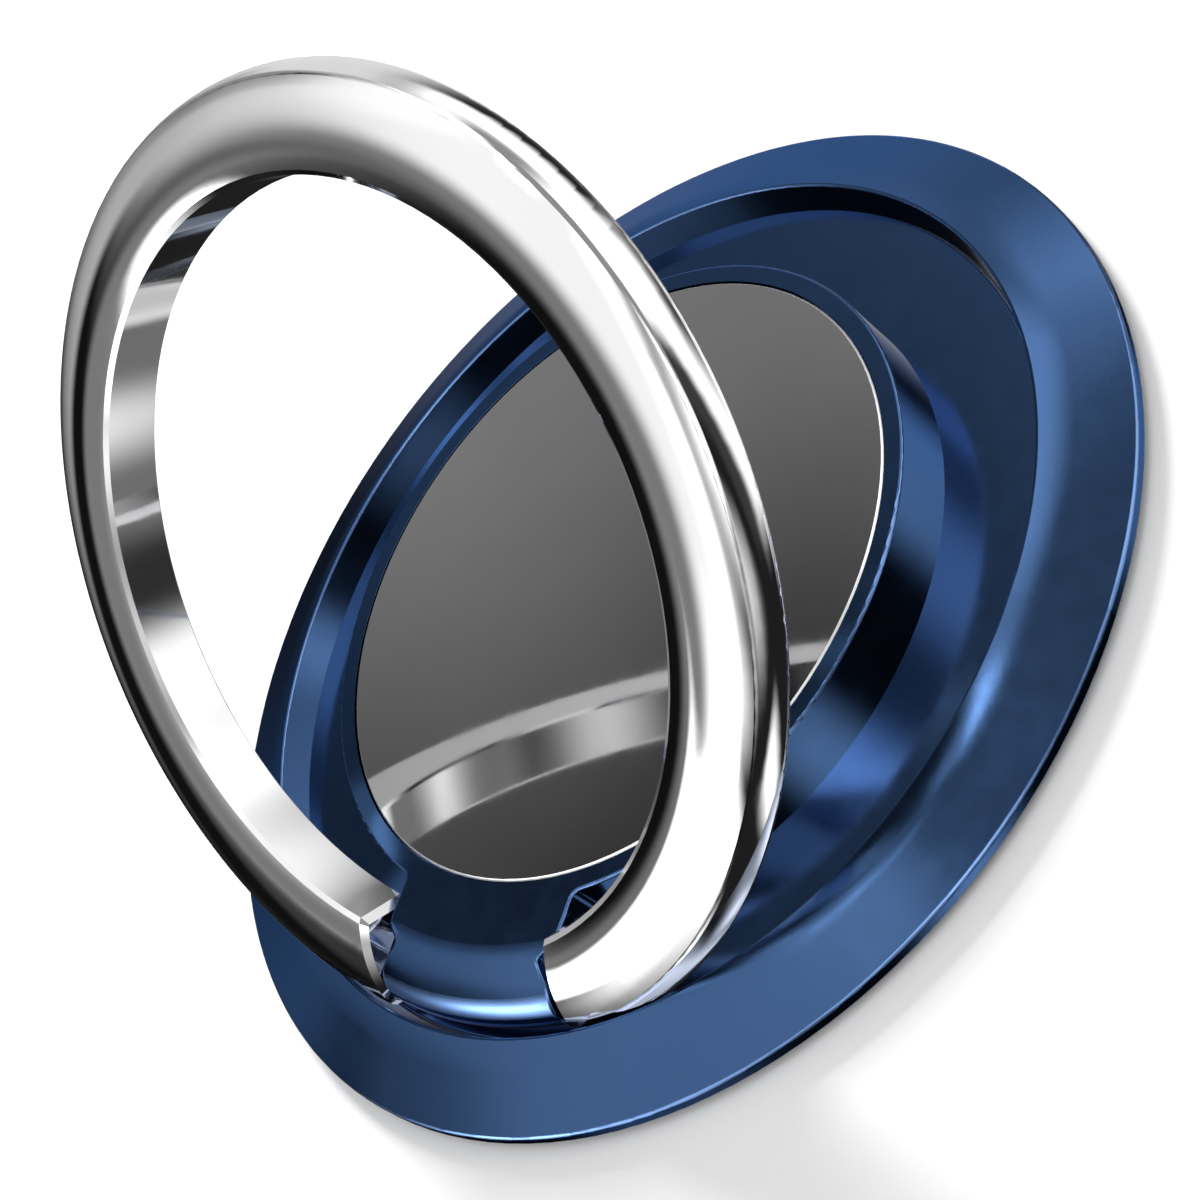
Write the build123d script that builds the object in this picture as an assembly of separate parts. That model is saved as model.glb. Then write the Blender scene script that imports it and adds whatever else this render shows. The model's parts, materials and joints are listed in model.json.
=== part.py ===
from build123d import *
import math
import os

os.makedirs("parts", exist_ok=True)

# Phone ring holder. Millimetres, the adhesive back at z = 0, +Z out of the phone,
# the hinge on the -Y side with its axis along X. The ring is built folded, then opened.

# Face plate, let into the top of the hub
PLATE_R = 11.86
PLATE_T = 0.52
PLATE_BEVEL = 0.07
PLATE_CLEAR = 0.06
FILM_T = 0.10
FILM_INSET = 0.35

# Radii from the plate outwards: hub, ring, recess, flange
RIM_WALL = 0.72
HUB_R = PLATE_R + PLATE_CLEAR + RIM_WALL
HUB_WALL = 1.14
CAVITY_R = HUB_R - HUB_WALL
CAVITY_CLEAR = 0.02
RING_GAP = 0.40
RING_IN_R = HUB_R + RING_GAP
RING_BAR = 3.62
RING_BULGE_R = RING_IN_R + RING_BAR
RING_ROOM = 0.02
BORE_FOOT_R = RING_BULGE_R + RING_ROOM
LIP_DRAFT = 0.24
LIP_R = BORE_FOOT_R + LIP_DRAFT
FLANGE_W = 3.08
BASE_R = LIP_R + FLANGE_W

# Heights of the base: adhesive pad, back disc, flange
PAD_T = 0.15
PAD_INSET = 0.25
BACK_T = 0.20
BACK_CLEAR = 0.05
BACK_Z = PAD_T
BACK_TOP = BACK_Z + BACK_T
REBATE_WALL = 0.55
RIM_BOTTOM_Z = 0.08
RIM_RISE = 0.10
RIM_TOP_Z = BACK_TOP + RIM_RISE
RIM_ROUND = 0.14
LIP_ROUND = 0.09

# Swivel tray
TRAY_GAP = 0.08
TRAY_R = BORE_FOOT_R - TRAY_GAP
TRAY_LIFT = 0.03
TRAY_T = 0.24
TRAY_Z = BACK_TOP + TRAY_LIFT
FLOOR_Z = TRAY_Z + TRAY_T
TRAY_EDGE_ROUND = 0.08
BOSS_T = 0.52
BOSS_TOP = TRAY_Z + BOSS_T
LIP_RISE = 1.16
LIP_Z = FLOOR_Z + LIP_RISE

# Screws from the tray into the hub and its block
SCREW_R = 0.50
SCREW_HEAD_R = 0.85
SCREW_HEAD_T = 0.18
SCREW_FIT = 0.02
SCREW_INSET = 1.26
SCREW_PITCH_R = CAVITY_R - SCREW_INSET
SCREW_ANGLE = 51.3
SCREW_BOSS_R = 1.10
BLOCK_SCREW_X = 2.60
BLOCK_SCREW_OUT = 0.56

# Swivel bearing, inside the hub
GLIDE_T = 0.14
GLIDE_CLEAR = 0.01
GLIDE_INSET = 1.64
GLIDE_R = SCREW_PITCH_R - GLIDE_INSET
RETAINER_T = 0.30
RETAINER_INSET = 0.30
RETAINER_R = GLIDE_R - RETAINER_INSET
SPRING_T = 0.18
SPRING_RISE = 0.22
SPRING_INSET = 0.70
SPRING_OUT_R = RETAINER_R - SPRING_INSET
STACK_CLEAR = 0.01
POST_R = 4.50
BEARING_CLEAR = 0.05
RIVET_EDGE = 1.90
RIVET_PITCH_R = POST_R - RIVET_EDGE
RIVET_R = 0.55
RIVET_HEAD_R = 1.00
RIVET_HEAD_T = 0.22
RIVET_COUNT = 3

# Heights of the hub, built up over the bearing
RETAINER_Z = BOSS_TOP + SPRING_T + SPRING_RISE + 2 * STACK_CLEAR
RETAINER_TOP = RETAINER_Z + RETAINER_T
HEAD_ROOM = 0.29
CAVITY_TOP = RETAINER_TOP + RIVET_HEAD_T + HEAD_ROOM
CAVITY_ROOF = 0.37
POCKET_Z = CAVITY_TOP + CAVITY_ROOF
PLATE_Z = POCKET_Z + FILM_T
HUB_TOP_Z = PLATE_Z + PLATE_T
HUB_EDGE_ROUND = 0.10
SCREW_TIP_DEPTH = 0.18
SCREW_TOP = CAVITY_TOP - SCREW_TIP_DEPTH

# Hinge
HINGE_OUT = 1.91
HINGE_Y = HUB_R + HINGE_OUT
HINGE_RISE = 0.80
HINGE_Z = FLOOR_Z + HINGE_RISE
PIN_R = 0.42
PIN_FIT = 0.02
PIN_RUN = 0.03
PIN_HALF = 5.70
PIN_END_CLEAR = 0.10
WASHER_R = 0.74
WASHER_T = 0.18
WASHER_CLEAR = 0.02

# Hinge block: a flat top that rolls over into a round nose
BLOCK_HALF = 4.15
NECK_CORNER_R = 0.40
NOSE_OUT = 0.71
NOSE_LIFT = 0.18
NOSE_R = 1.20
NOSE_TANGENT = 57.0
NOTCH_IN = 0.15
NOTCH_DEPTH = 0.62
NOTCH_NECK = 0.65
NOTCH_CHEEK = 0.85
NOTCH_ROUND = 0.15
NECK_END_ROUND = 0.60
CHEEK_ROUND = 0.90
NOTCH_LEDGE = 0.06
LEDGE_Z = HINGE_Z + WASHER_R + NOTCH_LEDGE

# Finger ring, folded: offsets from its inside radius and from its back
RING_OPEN = 44.8
RING_REACH = 60.0
REACH_STEP = 8.0
SWING_CLEAR = 0.05
RING_LIFT = 0.22
RING_BACK_Z = FLOOR_Z + RING_LIFT
BACK_BEVEL = 0.10
INSIDE_DRAFT = 0.14
INSIDE_H = 2.00
FRONT_BEVEL_W = 0.18
FRONT_BEVEL_H = 0.12
CREST_W = 1.26
CREST_H = 2.25
EDGE_INSET = 0.31
EDGE_H = 1.65
EDGE_ROUND = 0.35
BULGE_H = 0.61
HEEL_INSET = 0.28
HEEL_H = 0.24
HEEL_SLOPE = 25.0
BACK_INSET = 0.76
END_CLEAR = 0.02
END_BEVEL = 0.22
PEEL = 1.0


def turned(points):
    """Solid of revolution about Z from radius and height pairs."""
    outline = make_face(Polyline(*[(r, 0, z) for r, z in points], close=True))
    return revolve(outline, Axis.Z)


def disc(radius, z, height):
    return Pos(0, 0, z) * Cylinder(radius, height, align=(Align.CENTER, Align.CENTER, Align.MIN))


def tube(outer, inner, z, height):
    return disc(outer, z, height) - disc(inner, z - PEEL, height + 2 * PEEL)


def circle_edges(solid, radius, z, tolerance=0.02):
    """Round edges of a turned solid at this radius and height."""
    found = []
    for edge in solid.edges().filter_by(GeomType.CIRCLE):
        if abs(edge.radius - radius) < tolerance and abs(edge.arc_center.Z - z) < tolerance:
            found.append(edge)
    return found


def x_rod(radius, x0, x1, y, z):
    """Cylinder along X."""
    rod = Cylinder(radius, x1 - x0, rotation=(0, 90, 0))
    return Pos((x0 + x1) / 2, y, z) * rod


def rivet_places():
    return PolarLocations(RIVET_PITCH_R, RIVET_COUNT)


def screw_places():
    """Two screws into the hinge block, two into the far side of the hub."""
    angle = math.radians(SCREW_ANGLE)
    hub_x = SCREW_PITCH_R * math.cos(angle)
    hub_y = SCREW_PITCH_R * math.sin(angle)
    block_y = -(HUB_R + BLOCK_SCREW_OUT)
    return [(-BLOCK_SCREW_X, block_y), (BLOCK_SCREW_X, block_y), (-hub_x, hub_y), (hub_x, hub_y)]


def base_flange():
    """Ring with a conical face, a lip round the recess and a rebate for the back disc."""
    rebate_r = BASE_R - REBATE_WALL
    body = turned([
        (rebate_r, RIM_BOTTOM_Z),
        (BASE_R, RIM_BOTTOM_Z),
        (BASE_R, RIM_TOP_Z),
        (LIP_R, LIP_Z),
        (BORE_FOOT_R, BACK_TOP),
        (rebate_r, BACK_TOP),
    ])
    body = fillet(circle_edges(body, BASE_R, RIM_TOP_Z), RIM_ROUND)
    body = fillet(circle_edges(body, LIP_R, LIP_Z), LIP_ROUND)
    return body


def back_disc():
    """Stamped disc that closes the base and carries the swivel post."""
    body = disc(BASE_R - REBATE_WALL - BACK_CLEAR, BACK_Z, BACK_T)
    holes = rivet_places() * disc(RIVET_R, BACK_Z - PEEL, BACK_T + 2 * PEEL)
    return body - holes


def adhesive_pad():
    return disc(BASE_R - REBATE_WALL - PAD_INSET, 0, PAD_T)


def swivel_tray():
    """Dished disc that turns in the flange and carries the hub."""
    body = disc(TRAY_R, TRAY_Z, TRAY_T)
    body = fillet(circle_edges(body, TRAY_R, FLOOR_Z), TRAY_EDGE_ROUND)
    body += disc(CAVITY_R - CAVITY_CLEAR, TRAY_Z, BOSS_T)
    body -= disc(POST_R + BEARING_CLEAR, TRAY_Z - PEEL, BOSS_T + 2 * PEEL)
    seat_top = BACK_TOP + GLIDE_T + 2 * GLIDE_CLEAR
    body -= disc(GLIDE_R + BEARING_CLEAR, TRAY_Z - PEEL, seat_top - TRAY_Z + PEEL)
    for x, y in screw_places():
        body -= Pos(x, y) * disc(SCREW_R + SCREW_FIT, TRAY_Z - PEEL, BOSS_T + 2 * PEEL)
        body -= Pos(x, y) * disc(SCREW_HEAD_R + SCREW_FIT, TRAY_Z - PEEL, SCREW_HEAD_T + SCREW_FIT + PEEL)
    return body


def glide_washer():
    """Slippery washer that the tray turns on."""
    return tube(GLIDE_R, POST_R + BEARING_CLEAR, BACK_TOP + GLIDE_CLEAR, GLIDE_T)


def swivel_post():
    body = disc(POST_R, BACK_TOP, RETAINER_Z - BACK_TOP)
    return body - rivet_places() * disc(RIVET_R, 0, HUB_TOP_Z)


def disc_spring():
    """Coned spring that keeps the swivel stiff."""
    z = BOSS_TOP + STACK_CLEAR
    inner = POST_R + 2 * BEARING_CLEAR
    return turned([
        (SPRING_OUT_R, z),
        (SPRING_OUT_R, z + SPRING_T),
        (inner, z + SPRING_RISE + SPRING_T),
        (inner, z + SPRING_RISE),
    ])


def retaining_disc():
    body = disc(RETAINER_R, RETAINER_Z, RETAINER_T)
    return body - rivet_places() * disc(RIVET_R, 0, HUB_TOP_Z)


def post_rivets():
    """Rivets that clamp the back disc, the post and the retaining disc."""
    shank = disc(RIVET_R, BACK_Z, RETAINER_TOP - BACK_Z)
    head = disc(RIVET_HEAD_R, RETAINER_TOP, RIVET_HEAD_T)
    head = fillet(circle_edges(head, RIVET_HEAD_R, RETAINER_TOP + RIVET_HEAD_T), RIVET_HEAD_T * 0.7)
    return Compound(children=rivet_places() * (shank + head))


def top_profile():
    """Height of the hub and its block against radius: a flat, a crown and a round nose."""
    tangent = math.radians(NOSE_TANGENT)
    nose_r = HINGE_Y + NOSE_OUT
    nose_z = HINGE_Z + NOSE_LIFT
    join = (nose_r + NOSE_R * math.cos(tangent), 0, nose_z + NOSE_R * math.sin(tangent))
    crown_r = (HUB_TOP_Z - join[2]) / (1 - math.sin(tangent))
    flat_end = join[0] - crown_r * math.cos(tangent)
    halfway = math.radians(90 + NOSE_TANGENT) / 2
    crown_mid = (
        flat_end + crown_r * math.cos(halfway),
        0,
        HUB_TOP_Z - crown_r * (1 - math.sin(halfway)),
    )
    drop = nose_z - FLOOR_Z
    foot = (nose_r + math.sqrt(NOSE_R ** 2 - drop ** 2), 0, FLOOR_Z)
    crown = ThreePointArc((flat_end, 0, HUB_TOP_Z), crown_mid, join)
    nose = ThreePointArc(join, (nose_r + NOSE_R, 0, nose_z), foot)
    rest = Polyline(foot, (0, 0, FLOOR_Z), (0, 0, HUB_TOP_Z), (flat_end, 0, HUB_TOP_Z))
    return make_face([crown, nose, rest]), (flat_end, join[0])


def rounded_at(plan, points, radius):
    """Rounds the corners of a flat outline that lie at these points."""
    corners = []
    for x, y in points:
        for px in (-x, x):
            corners.append(plan.vertices().sort_by_distance((px, y, 0))[0])
    return fillet(corners, radius)


def hub_plan(notched):
    """Round hub with the hinge block, with or without the scallop behind the block's nose."""
    reach = HINGE_Y + NOSE_OUT + NOSE_R + PEEL
    notch_y = HINGE_Y - NOTCH_IN
    neck_end = (BLOCK_HALF, -(notch_y - NOTCH_NECK))
    root = (BLOCK_HALF - NOTCH_DEPTH, -notch_y)
    cheek = (BLOCK_HALF, -(notch_y + NOTCH_CHEEK))
    side = [(BLOCK_HALF, 0)]
    if notched:
        side += [neck_end, root, cheek]
    side += [(BLOCK_HALF, -reach)]
    other = [(-x, y) for x, y in reversed(side)]
    plan = Circle(HUB_R) + make_face(Polyline(*side, *other, close=True))
    meet_y = -math.sqrt(HUB_R ** 2 - BLOCK_HALF ** 2)
    plan = rounded_at(plan, [(BLOCK_HALF, meet_y)], NECK_CORNER_R)
    if notched:
        plan = rounded_at(plan, [neck_end], NECK_END_ROUND)
        plan = rounded_at(plan, [root], NOTCH_ROUND)
        plan = rounded_at(plan, [cheek], CHEEK_ROUND)
    return plan


def block_rims(body, joins):
    """Edges where the top runs out into the walls of the hub and its block."""
    found = []
    for edge in body.edges():
        middle = edge @ 0.5
        radius = math.hypot(middle.X, middle.Y)
        along_top = any(abs(radius - join) < 0.01 for join in joins)
        upright = edge.geom_type == GeomType.LINE and abs((edge % 0.5).Z) > 0.99
        on_ledge = abs(middle.Z - LEDGE_Z) < 0.01 or middle.Z < FLOOR_Z + 0.01
        if not along_top and not upright and not on_ledge:
            found.append(edge)
    return found


def hub_housing():
    """Raised cup in the middle, in one piece with the hinge block."""
    profile, joins = top_profile()
    body = extrude(Pos(0, 0, FLOOR_Z) * hub_plan(False), LEDGE_Z - FLOOR_Z)
    body += extrude(Pos(0, 0, LEDGE_Z) * hub_plan(True), HUB_TOP_Z - LEDGE_Z + PEEL)
    body &= revolve(profile, Axis.Z)
    body = fillet(block_rims(body, joins), HUB_EDGE_ROUND)
    body -= disc(PLATE_R + PLATE_CLEAR, POCKET_Z, HUB_TOP_Z)
    cavity = disc(CAVITY_R, 0, CAVITY_TOP)
    for x, y in screw_places()[2:]:
        cavity -= Pos(x, y) * disc(SCREW_BOSS_R, BOSS_TOP, CAVITY_TOP)
    body -= cavity
    body -= x_rod(PIN_R + PIN_FIT, -BLOCK_HALF - PEEL, BLOCK_HALF + PEEL, -HINGE_Y, HINGE_Z)
    for x, y in screw_places():
        body -= Pos(x, y) * disc(SCREW_R + SCREW_FIT, 0, SCREW_TOP + SCREW_FIT)
    return body


def tray_screws():
    """Flat-headed screws from under the tray into the hub."""
    screws = []
    for x, y in screw_places():
        head = disc(SCREW_HEAD_R, TRAY_Z, SCREW_HEAD_T)
        screws.append(Pos(x, y) * (head + disc(SCREW_R, TRAY_Z, SCREW_TOP - TRAY_Z)))
    return Compound(children=screws)


def plate_film():
    return disc(PLATE_R - FILM_INSET, POCKET_Z, FILM_T)


def face_plate():
    """Polished steel plate let into the hub, flush with its rim."""
    body = disc(PLATE_R, PLATE_Z, PLATE_T)
    return chamfer(circle_edges(body, PLATE_R, HUB_TOP_Z), PLATE_BEVEL)


def hinge_pin():
    return x_rod(PIN_R, -PIN_HALF, PIN_HALF, -HINGE_Y, HINGE_Z)


def hinge_washer(side):
    """Thin washer that takes up the play between the block and one ring end."""
    inner = BLOCK_HALF + WASHER_CLEAR
    outer = inner + WASHER_T
    x0, x1 = sorted((side * inner, side * outer))
    body = x_rod(WASHER_R, x0, x1, -HINGE_Y, HINGE_Z)
    return body - x_rod(PIN_R + PIN_FIT, x0 - PEEL, x1 + PEEL, -HINGE_Y, HINGE_Z)


def ring_section():
    """Outline of the ring's bar: drafted inside wall, crowned face, bulging outside wall."""
    at = lambda w, h: (RING_IN_R + w, 0, RING_BACK_Z + h)
    bevel = at(INSIDE_DRAFT + FRONT_BEVEL_W, INSIDE_H + FRONT_BEVEL_H)
    edge = at(RING_BAR - EDGE_INSET, EDGE_H)
    bulge = at(RING_BAR, BULGE_H)
    back = at(RING_BAR - BACK_INSET, 0)
    heel_slope = math.radians(HEEL_SLOPE)
    face = ThreePointArc(bevel, at(CREST_W, CREST_H), edge)
    wall = TangentArc(bulge, edge, tangent=(0, 0, 1))
    heel = Spline(
        [bulge, at(RING_BAR - HEEL_INSET, HEEL_H), back],
        tangents=[(0, 0, -1), (-math.cos(heel_slope), 0, -math.sin(heel_slope))],
    )
    inside = Polyline(back, at(BACK_BEVEL, 0), at(0, BACK_BEVEL), at(INSIDE_DRAFT, INSIDE_H), bevel)
    section = make_face([face, wall, heel, inside])
    return fillet(section.vertices().sort_by_distance(edge)[0], EDGE_ROUND)


def heel_cut():
    """Room behind the hinge axis, so that the ring's ends clear the tray as it opens."""
    reach = math.radians(RING_REACH)
    radius = HINGE_Z - FLOOR_Z - SWING_CLEAR
    rise = HINGE_Z - RING_BACK_Z
    a0 = math.sqrt(radius ** 2 - rise ** 2)
    a1 = radius * math.sin(reach)
    b1 = -radius * math.cos(reach)
    far = 3.0
    a2 = a1 + far * math.cos(reach)
    b2 = b1 + far * math.sin(reach)
    points = [(a0, -rise), (a1, b1), (a2, b2), (a2 + far, b2), (a2 + far, -far), (a0, -far)]
    outline = Polyline(*[(0, -HINGE_Y - a, HINGE_Z + b) for a, b in points], close=True)
    return extrude(make_face(outline), HUB_R, dir=(1, 0, 0), both=True)


def lip_cut():
    """Room in the outer wall near the ring's ends, so that they clear the lip as it opens."""
    near = turned([
        (BORE_FOOT_R - SWING_CLEAR, BACK_TOP),
        (LIP_R - SWING_CLEAR, LIP_Z),
        (LIP_R, LIP_Z + SWING_CLEAR),
        (BASE_R, RIM_TOP_Z + SWING_CLEAR),
        (BASE_R, BACK_TOP),
    ])
    near &= Box(2 * BASE_R, BASE_R, BASE_R, align=(Align.CENTER, Align.MAX, Align.CENTER))
    hinge = Axis((0, -HINGE_Y, HINGE_Z), (1, 0, 0))
    steps = int(RING_REACH / REACH_STEP / 1.5)
    return [near.rotate(hinge, REACH_STEP * n - RING_REACH) for n in range(steps)]


def end_rims(body, end_x):
    """Edges round each end of the ring, on its face and on its inside."""
    found = []
    for edge in body.edges():
        middle = edge @ 0.5
        on_end = max(abs(abs(p.X) - end_x) for p in (edge @ 0, middle, edge @ 1)) < 0.001
        radius = math.hypot(middle.X, middle.Y)
        on_back = middle.Z < RING_BACK_Z + BACK_BEVEL
        on_wall = radius > RING_IN_R + RING_BAR / 2 and middle.Z < RING_BACK_Z + EDGE_H - BACK_BEVEL
        if on_end and not on_back and not on_wall:
            found.append(edge)
    return found


def folded_ring():
    """The ring as it lies in the recess, open at the hinge."""
    body = revolve(ring_section(), Axis.Z)
    end_x = BLOCK_HALF + 2 * WASHER_CLEAR + WASHER_T + END_CLEAR
    body -= Box(2 * end_x, BASE_R, 2 * BASE_R, align=(Align.CENTER, Align.MAX, Align.CENTER))
    body = chamfer(end_rims(body, end_x), END_BEVEL)
    body -= heel_cut()
    for cut in lip_cut():
        body -= cut
    hole_end = PIN_HALF + PIN_END_CLEAR
    body -= x_rod(PIN_R + PIN_RUN, -hole_end, hole_end, -HINGE_Y, HINGE_Z)
    return body


def finger_ring():
    hinge = Axis((0, -HINGE_Y, HINGE_Z), (1, 0, 0))
    return folded_ring().rotate(hinge, RING_OPEN)


PARTS = {
    "base_flange": base_flange,
    "back_disc": back_disc,
    "adhesive_pad": adhesive_pad,
    "swivel_tray": swivel_tray,
    "glide_washer": glide_washer,
    "swivel_post": swivel_post,
    "disc_spring": disc_spring,
    "retaining_disc": retaining_disc,
    "post_rivets": post_rivets,
    "hub_housing": hub_housing,
    "tray_screws": tray_screws,
    "plate_film": plate_film,
    "face_plate": face_plate,
    "hinge_pin": hinge_pin,
    "hinge_washer_left": lambda: hinge_washer(-1),
    "hinge_washer_right": lambda: hinge_washer(1),
    "finger_ring": finger_ring,
}

for name, make in PARTS.items():
    export_step(make(), f"parts/{name}.step")
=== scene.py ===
import json
import math

import bpy
from mathutils import Euler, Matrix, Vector

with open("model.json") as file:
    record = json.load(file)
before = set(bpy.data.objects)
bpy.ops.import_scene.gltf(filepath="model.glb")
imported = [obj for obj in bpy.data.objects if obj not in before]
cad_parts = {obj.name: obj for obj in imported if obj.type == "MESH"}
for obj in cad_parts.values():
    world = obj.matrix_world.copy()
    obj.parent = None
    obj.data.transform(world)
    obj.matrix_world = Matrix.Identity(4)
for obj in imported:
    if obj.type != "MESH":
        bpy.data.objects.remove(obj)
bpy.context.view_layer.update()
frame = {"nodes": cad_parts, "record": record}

# Camera: where the photograph was taken from (metres, degrees, millimetres of lens and sensor)
CAMERA_PLACE = (0.0766133, -0.0356446, 0.0698109)
CAMERA_TURN = (36.0075, 37.98192, 24.38078)
CAMERA_LENS = 91.8777
CAMERA_SENSOR = 36.0
CAMERA_SHIFT = -0.0601
CAMERA_NEAR = 0.005
CAMERA_FAR = 20.0

# Noise runs mostly between these values
NOISE_LOW = 0.3
NOISE_HIGH = 0.7

# Share of a small rounding, by how level the surface lies: 0 upright, 1 level
ROUNDING_STARTS = (0.26, 0.40)
ROUNDING_ENDS = (0.74, 0.86)

# Blue anodised metal: its faces, its small roundings painted lighter as a highlight, the lighter, greyer
# blue painted in as its reflection in other surfaces, and seen from the side
BLUE_DARK = (0.045, 0.097, 0.222)
BLUE_LIGHT = (0.051, 0.108, 0.240)
BLUE_EDGE_HIGHLIGHT = (0.15, 0.26, 0.52, 1)
BLUE_PAINTED_REFLECTION = (0.40, 0.45, 0.56, 1)
BLUE_SIDEWAYS = (0.46, 0.53, 0.74, 1)
BLUE_EDGE_ROUGHNESS = 0.30
BLUE_GRAIN = 6000
BLUE_GRAIN_STRENGTH = 0.04
BLUE_GRAIN_DEPTH = 0.00002

# The flange levels out towards its lip, from this radius inwards (metres)
FLANGE_LIP = 0.0169
FLANGE_LEVEL = 0.0012
FLANGE_DIP = 0.00008

# Rolled steel: its grain is drawn out along Y
ROLLED = (1, 12, 1)

# Pale floor, just under the object (metres)
FLOOR_SIZE = 6.0
FLOOR_LEVEL = -0.0002
FLOOR_GREY = 0.68

# Low lamp: strength, softness, and where it shines from (degrees)
LAMP_STRENGTH = 8.5
LAMP_WIDTH = 18
LAMP_ROUND = 140
LAMP_ABOVE = 18

# Soft light of the studio, painted over a dark room in this order: where each panel is (degrees round
# from +X and above the horizon), half its width and height, how soft its sides are, and how bright it is
PANELS = (
    ("ceiling", 0, 66, 181, 37, 1, 9, 0.32),
    ("front_panel", -103, 36, 21, 45, 8, 19, 2.3),
    ("front_high", -42, 44, 24, 12, 13, 13, 4.8),
    ("left_high_panel", -140, 57, 50, 34, 16, 12, 1.1),
    ("left_low_glow", -173, 19, 20, 20, 15, 22, 0.5),
    ("left_gap", -139, 25, 20, 11, 12, 9, 0.22),
    ("corner_glow", -51, 29, 9, 32, 10, 10, 0.57),
    ("corner_strip", -23, 4, 12, 17, 11, 16, 1.06),
    ("right_panel", 45, 13, 20, 44, 14, 6, 1.95),
    ("right_high", 80, 27, 31, 11, 9, 5, 1.75),
    ("right_gap", 80, -12, 39, 17, 14, 9, 0.07),
    ("back_glow", 132, 0, 18, 39, 11, 16, 0.83),
    ("back_gap", 158, 48, 12, 30, 9, 9, 0.03),
    ("back_high", 146, 64, 55, 13, 5, 10, 1.2),
    ("back_shelf", 111, 53, 13, 13, 7, 4, 2.0),
    ("top_strip", -134, 83, 12, 5, 7, 6, 5.5),
    ("top_back_strip", 140, 80, 50, 4, 10, 3, 8.0),
    ("left_low_gap", -157, 0, 10, 23, 5, 5, 0.006),
    ("low_front", -126, 8, 11, 8, 4, 4, 8.5),
    ("low_right", 68, -33, 25, 16, 11, 9, 1.2),
    ("low_corner", -30, -56, 12, 15, 10, 6, 1.6),
    ("low_shelf", -108, -36, 20, 7, 10, 5, 1.4),
    ("front_gap", -80, -2, 9, 17, 3, 9, 0.01),
    ("corner_gap", 14, 7, 7, 29, 5, 7, 0.05),
    ("back_low_gap", 153, 17, 9, 22, 7, 5, 0.3),
)
ROOM_DARK = 0.015

# These pieces lie under or beside the upright walls and would darken what the walls mirror
UNMIRRORED = ("swivel_tray", "back_disc", "adhesive_pad", "tray_screws", "glide_washer")


def clear_selection():
    for item in bpy.context.selected_objects:
        item.select_set(False)


def make_camera():
    data = bpy.data.cameras.new("camera")
    data.lens = CAMERA_LENS
    data.sensor_width = CAMERA_SENSOR
    data.shift_x = CAMERA_SHIFT
    data.clip_start = CAMERA_NEAR
    data.clip_end = CAMERA_FAR
    camera = bpy.data.objects.new("camera", data)
    camera.location = CAMERA_PLACE
    camera.rotation_euler = Euler([math.radians(v) for v in CAMERA_TURN], "XYZ")
    bpy.context.collection.objects.link(camera)
    bpy.context.scene.camera = camera


def new_material(name, metallic=0.0):
    material = bpy.data.materials.new(name)
    material.use_nodes = True
    tree = material.node_tree
    shader = next(n for n in tree.nodes if n.type == "BSDF_PRINCIPLED")
    shader.inputs["Metallic"].default_value = metallic
    return material, tree, shader


def node(tree, kind, **values):
    """Adds a node; each value sets one of its properties or of its inputs."""
    made = tree.nodes.new(kind)
    for key, value in values.items():
        if hasattr(made, key):
            setattr(made, key, value)
        else:
            made.inputs[key].default_value = value
    return made


def math_node(tree, kind, first, second=None, third=None):
    made = node(tree, "ShaderNodeMath", operation=kind)
    for socket, value in zip(made.inputs, (first, second, third)):
        if value is None:
            continue
        if isinstance(value, (int, float)):
            socket.default_value = value
        else:
            tree.links.new(value, socket)
    return made.outputs["Value"]


def noise(tree, scale, detail=3.0, roughness=0.5, stretch=None):
    """Noise in the object's own metres, drawn out along an axis where it is stretched."""
    place = node(tree, "ShaderNodeTexCoord")
    pattern = node(tree, "ShaderNodeTexNoise")
    pattern.inputs["Scale"].default_value = scale
    pattern.inputs["Detail"].default_value = detail
    pattern.inputs["Roughness"].default_value = roughness
    if stretch:
        mapping = node(tree, "ShaderNodeMapping")
        mapping.inputs["Scale"].default_value = stretch
        tree.links.new(place.outputs["Object"], mapping.inputs["Vector"])
        tree.links.new(mapping.outputs["Vector"], pattern.inputs["Vector"])
    else:
        tree.links.new(place.outputs["Object"], pattern.inputs["Vector"])
    return pattern.outputs["Fac"]


def spread(tree, source, low, high):
    """Brings a pattern between two values."""
    span = node(tree, "ShaderNodeMapRange")
    span.inputs["From Min"].default_value = NOISE_LOW
    span.inputs["From Max"].default_value = NOISE_HIGH
    span.inputs["To Min"].default_value = low
    span.inputs["To Max"].default_value = high
    tree.links.new(source, span.inputs["Value"])
    return span.outputs["Result"]


def tint(tree, source, dark, light):
    """Brings a pattern between two colours."""
    ramp = node(tree, "ShaderNodeValToRGB")
    ramp.color_ramp.elements[0].position = NOISE_LOW
    ramp.color_ramp.elements[1].position = NOISE_HIGH
    ramp.color_ramp.elements[0].color = (*dark, 1)
    ramp.color_ramp.elements[1].color = (*light, 1)
    tree.links.new(source, ramp.inputs["Fac"])
    return ramp.outputs["Color"]


def rounded_edges(tree):
    """1 on the small roundings and bevels between level and upright faces, 0 on the faces themselves."""
    place = node(tree, "ShaderNodeTexCoord")
    split = node(tree, "ShaderNodeSeparateXYZ")
    tree.links.new(place.outputs["Normal"], split.inputs["Vector"])
    level = math_node(tree, "ABSOLUTE", split.outputs["Z"])
    ramp = node(tree, "ShaderNodeValToRGB")
    ramp.color_ramp.elements[0].position = ROUNDING_STARTS[0]
    ramp.color_ramp.elements[0].color = (0, 0, 0, 1)
    ramp.color_ramp.elements[1].position = ROUNDING_STARTS[1]
    ramp.color_ramp.elements[1].color = (1, 1, 1, 1)
    for position, value in zip(ROUNDING_ENDS, (1, 0)):
        stop = ramp.color_ramp.elements.new(position)
        stop.color = (value, value, value, 1)
    tree.links.new(level, ramp.inputs["Fac"])
    return ramp.outputs["Color"]


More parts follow.
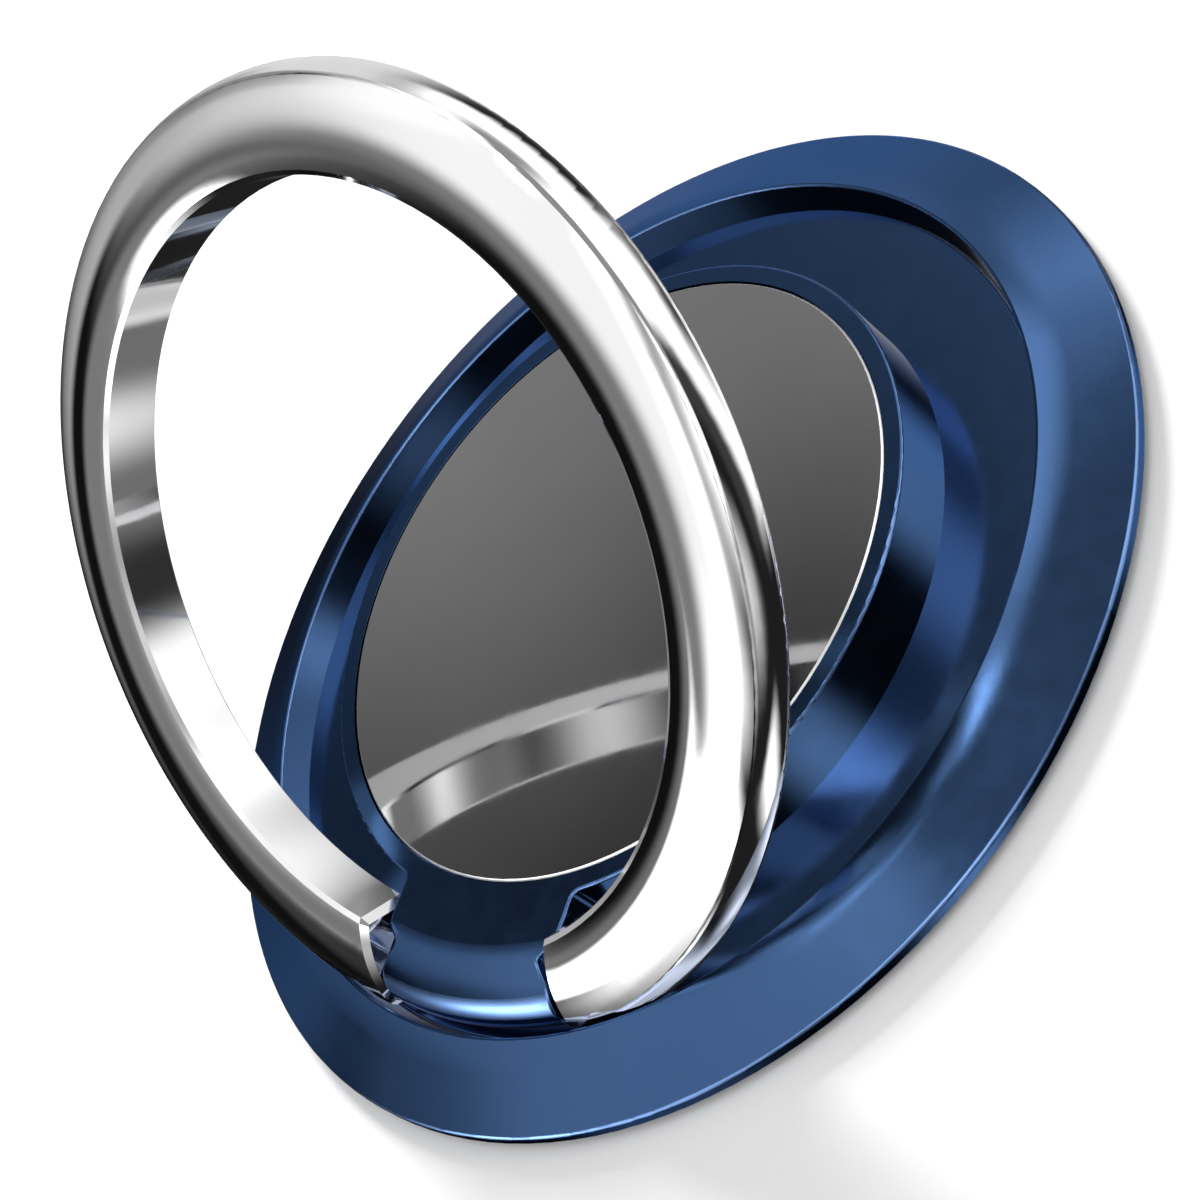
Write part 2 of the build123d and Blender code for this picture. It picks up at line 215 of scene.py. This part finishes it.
def between(tree, share, kind, first, second):
    """Goes from the first value or colour to the second, a number or a socket each, by a share."""
    mix = node(tree, "ShaderNodeMix", data_type=kind)
    factor, *ends = [s for s in mix.inputs if s.enabled]
    tree.links.new(share, factor)
    for socket, value in zip(ends[-2:], (first, second)):
        if isinstance(value, bpy.types.NodeSocket):
            tree.links.new(value, socket)
        else:
            socket.default_value = value
    return next(s for s in mix.outputs if s.enabled)


def relief(tree, source, strength, depth):
    bump = node(tree, "ShaderNodeBump")
    bump.inputs["Strength"].default_value = strength
    bump.inputs["Distance"].default_value = depth
    tree.links.new(source, bump.inputs["Height"])
    return bump


def finish(tree, shader, colour, gloss, bump):
    """Joins a finish's colour, roughness and relief to its shader."""
    tree.links.new(colour, shader.inputs["Base Color"])
    tree.links.new(gloss, shader.inputs["Roughness"])
    tree.links.new(bump.outputs["Normal"], shader.inputs["Normal"])


def blue_metal(name, level=None):
    """Blue anodised metal: satin faces, a lighter blue painted on its roundings as a highlight, a greyer
    blue painted in where other surfaces mirror it, and any relief under its grain.
    """
    material, tree, shader = new_material(name, metallic=1.0)
    shader.inputs["Specular Tint"].default_value = BLUE_SIDEWAYS
    edges = rounded_edges(tree)
    path = node(tree, "ShaderNodeLightPath")
    blue = tint(tree, noise(tree, 90, 2), BLUE_DARK, BLUE_LIGHT)
    # Painted highlight: a lighter blue on the small roundings and other half-level faces
    blue_with_highlight = between(tree, edges, "RGBA", blue, BLUE_EDGE_HIGHLIGHT)
    # Painted reflection: where another surface mirrors this metal, it shows a lighter, greyer blue
    colour = between(tree, path.outputs["Is Glossy Ray"], "RGBA", blue_with_highlight, BLUE_PAINTED_REFLECTION)
    satin = spread(tree, noise(tree, 900, 4), 0.12, 0.17)
    gloss = between(tree, edges, "FLOAT", satin, BLUE_EDGE_ROUGHNESS)
    grain = relief(tree, noise(tree, BLUE_GRAIN, 2), BLUE_GRAIN_STRENGTH, BLUE_GRAIN_DEPTH)
    if level:
        tree.links.new(level(tree).outputs["Normal"], grain.inputs["Normal"])
    finish(tree, shader, colour, gloss, grain)
    return material


def flange_level(tree):
    """Relief that levels the flange's slope out softly towards its lip."""
    place = node(tree, "ShaderNodeTexCoord")
    split = node(tree, "ShaderNodeSeparateXYZ")
    tree.links.new(place.outputs["Object"], split.inputs["Vector"])
    across = math_node(tree, "MULTIPLY", split.outputs["X"], split.outputs["X"])
    along = math_node(tree, "MULTIPLY", split.outputs["Y"], split.outputs["Y"])
    radius = math_node(tree, "SQRT", math_node(tree, "ADD", across, along))
    inside = math_node(tree, "SUBTRACT", FLANGE_LIP + FLANGE_LEVEL, radius)
    reach = math_node(tree, "DIVIDE", inside, FLANGE_LEVEL)
    share = math_node(tree, "MINIMUM", math_node(tree, "MAXIMUM", reach, 0.0), 1.0)
    level = relief(tree, math_node(tree, "MULTIPLY", share, share), 1.0, FLANGE_DIP)
    level.invert = True
    return level


def blue_anodised():
    return blue_metal("blue_anodised")


def blue_flange():
    return blue_metal("blue_flange", level=flange_level)


def polished_chrome():
    material, tree, shader = new_material("polished_chrome", metallic=1.0)
    colour = tint(tree, noise(tree, 120, 2), (0.80, 0.80, 0.805), (0.84, 0.84, 0.845))
    gloss = spread(tree, noise(tree, 700, 4), 0.035, 0.07)
    finish(tree, shader, colour, gloss, relief(tree, noise(tree, 3000, 3), 0.02, 0.00001))
    return material


def polished_plate():
    """Mirror-polished steel, with a softer bevel painted near white as a highlight line."""
    material, tree, shader = new_material("polished_plate", metallic=1.0)
    edges = rounded_edges(tree)
    grey = tint(tree, noise(tree, 150, 2), (0.56, 0.56, 0.565), (0.60, 0.60, 0.605))
    mirror = spread(tree, noise(tree, 800, 4), 0.03, 0.06)
    # Painted highlight: the bevel turns near white, a bright line round the plate's edge
    colour = between(tree, edges, "RGBA", grey, (0.92, 0.92, 0.92, 1))
    gloss = between(tree, edges, "FLOAT", mirror, 0.38)
    finish(tree, shader, colour, gloss, relief(tree, noise(tree, 2500, 3), 0.02, 0.00001))
    return material


def plain_steel():
    material, tree, shader = new_material("plain_steel", metallic=1.0)
    colour = tint(tree, noise(tree, 200, 3), (0.42, 0.42, 0.43), (0.50, 0.50, 0.51))
    gloss = spread(tree, noise(tree, 900, 4, stretch=ROLLED), 0.24, 0.40)
    finish(tree, shader, colour, gloss, relief(tree, noise(tree, 2500, 3, stretch=ROLLED), 0.08, 0.00003))
    return material


def black_steel():
    # Black coated steel; its black also stands in as painted shade in the narrow gap under the tray
    material, tree, shader = new_material("black_steel")
    colour = tint(tree, noise(tree, 300, 3), (0.012, 0.012, 0.014), (0.024, 0.024, 0.027))
    gloss = spread(tree, noise(tree, 1200, 4), 0.38, 0.55)
    finish(tree, shader, colour, gloss, relief(tree, noise(tree, 5000, 3), 0.15, 0.00003))
    return material


def adhesive_foam():
    material, tree, shader = new_material("adhesive_foam")
    colour = tint(tree, noise(tree, 1200, 4), (0.018, 0.018, 0.020), (0.035, 0.035, 0.038))
    gloss = spread(tree, noise(tree, 1500, 3), 0.65, 0.85)
    finish(tree, shader, colour, gloss, relief(tree, noise(tree, 4000, 4), 0.4, 0.00006))
    return material


def nylon():
    material, tree, shader = new_material("nylon")
    colour = tint(tree, noise(tree, 600, 3), (0.70, 0.69, 0.64), (0.78, 0.77, 0.73))
    gloss = spread(tree, noise(tree, 900, 3), 0.42, 0.55)
    finish(tree, shader, colour, gloss, relief(tree, noise(tree, 3000, 3), 0.1, 0.00003))
    return material


FINISHES = {
    "blue_anodised": blue_anodised,
    "chrome": polished_chrome,
    "polished_steel": polished_plate,
    "steel": plain_steel,
    "black_steel": black_steel,
    "adhesive": adhesive_foam,
    "nylon": nylon,
}


def finish_nodes():
    """Gives every piece of the model the finish of its material slot, and the flange its own."""
    made = {slot: build() for slot, build in FINISHES.items()}
    flange = blue_flange()
    slots = {row["node"]: row["material_slot"] for row in frame["record"]["subparts"]}
    for name, item in frame["nodes"].items():
        for slot in item.material_slots:
            slot.material = flange if name == "base_flange" else made[slots[name]]


def open_up_reflections():
    """The upright walls show the studio and not the tray at their foot."""
    for name in UNMIRRORED:
        frame["nodes"][name].visible_glossy = False


def make_floor():
    clear_selection()
    bpy.ops.mesh.primitive_plane_add(size=FLOOR_SIZE, location=(0, 0, FLOOR_LEVEL))
    floor = bpy.context.active_object
    floor.name = "floor"
    material = bpy.data.materials.new("pale_floor")
    material.use_nodes = True
    tree = material.node_tree
    tree.nodes.clear()
    matt = node(tree, "ShaderNodeBsdfDiffuse", Color=(FLOOR_GREY, FLOOR_GREY, FLOOR_GREY, 1))
    out = node(tree, "ShaderNodeOutputMaterial")
    tree.links.new(matt.outputs["BSDF"], out.inputs["Surface"])
    floor.visible_glossy = False
    floor.data.materials.append(material)


def window(tree, value, half, soft):
    """1 within half of zero, 0 past it, with a smooth edge."""
    distance = math_node(tree, "ABSOLUTE", value)
    edge = node(tree, "ShaderNodeMapRange")
    edge.interpolation_type = "SMOOTHSTEP"
    edge.inputs["From Min"].default_value = half - soft
    edge.inputs["From Max"].default_value = half + soft
    edge.inputs["To Min"].default_value = 1.0
    edge.inputs["To Max"].default_value = 0.0
    tree.links.new(distance, edge.inputs["Value"])
    return edge.outputs["Result"]


def panel_light(tree):
    """How bright the studio is in each direction: the panels, one over another, over the dark room."""
    place = node(tree, "ShaderNodeTexCoord")
    split = node(tree, "ShaderNodeSeparateXYZ")
    tree.links.new(place.outputs["Generated"], split.inputs["Vector"])
    turn = math_node(tree, "ARCTAN2", split.outputs["Y"], split.outputs["X"])
    around = math_node(tree, "MULTIPLY", turn, math.degrees(1))
    rise = math_node(tree, "ARCSINE", split.outputs["Z"])
    above = math_node(tree, "MULTIPLY", rise, math.degrees(1))
    light = ROOM_DARK
    for name, az, el, half_az, half_el, soft_az, soft_el, brightness in PANELS:
        aside = math_node(tree, "WRAP", math_node(tree, "SUBTRACT", around, az), 180, -180)
        up = math_node(tree, "SUBTRACT", above, el)
        across = window(tree, aside, half_az, soft_az)
        upright = window(tree, up, half_el, soft_el)
        mask = math_node(tree, "MULTIPLY", across, upright)
        light = between(tree, mask, "FLOAT", light, brightness)
        light.node.label = name
    return light


def light_room():
    """A dark room with soft panels, and plain white behind the object."""
    world = bpy.data.worlds.new("room")
    bpy.context.scene.world = world
    world.use_nodes = True
    tree = world.node_tree
    tree.nodes.clear()
    room = node(tree, "ShaderNodeBackground", Color=(1, 1, 1, 1))
    tree.links.new(panel_light(tree), room.inputs["Strength"])
    white = node(tree, "ShaderNodeBackground", Color=(1, 1, 1, 1))
    path = node(tree, "ShaderNodeLightPath")
    mix = node(tree, "ShaderNodeMixShader")
    out = node(tree, "ShaderNodeOutputWorld")
    tree.links.new(path.outputs["Is Camera Ray"], mix.inputs["Fac"])
    tree.links.new(room.outputs["Background"], mix.inputs[1])
    tree.links.new(white.outputs["Background"], mix.inputs[2])
    tree.links.new(mix.outputs["Shader"], out.inputs["Surface"])


def low_lamp():
    """Soft lamp low behind the ring, which draws the shadow out in front of the flange."""
    data = bpy.data.lights.new("low_lamp", "SUN")
    data.energy = LAMP_STRENGTH
    data.angle = math.radians(LAMP_WIDTH)
    lamp = bpy.data.objects.new("low_lamp", data)
    az, el = math.radians(LAMP_ROUND), math.radians(LAMP_ABOVE)
    shine = -Vector((math.cos(el) * math.cos(az), math.cos(el) * math.sin(az), math.sin(el)))
    lamp.rotation_euler = shine.to_track_quat("-Z", "Y").to_euler()
    lamp.visible_glossy = False
    bpy.context.collection.objects.link(lamp)


make_camera()
finish_nodes()
open_up_reflections()
make_floor()
light_room()
low_lamp()

bpy.context.scene.view_settings.view_transform = "Standard"
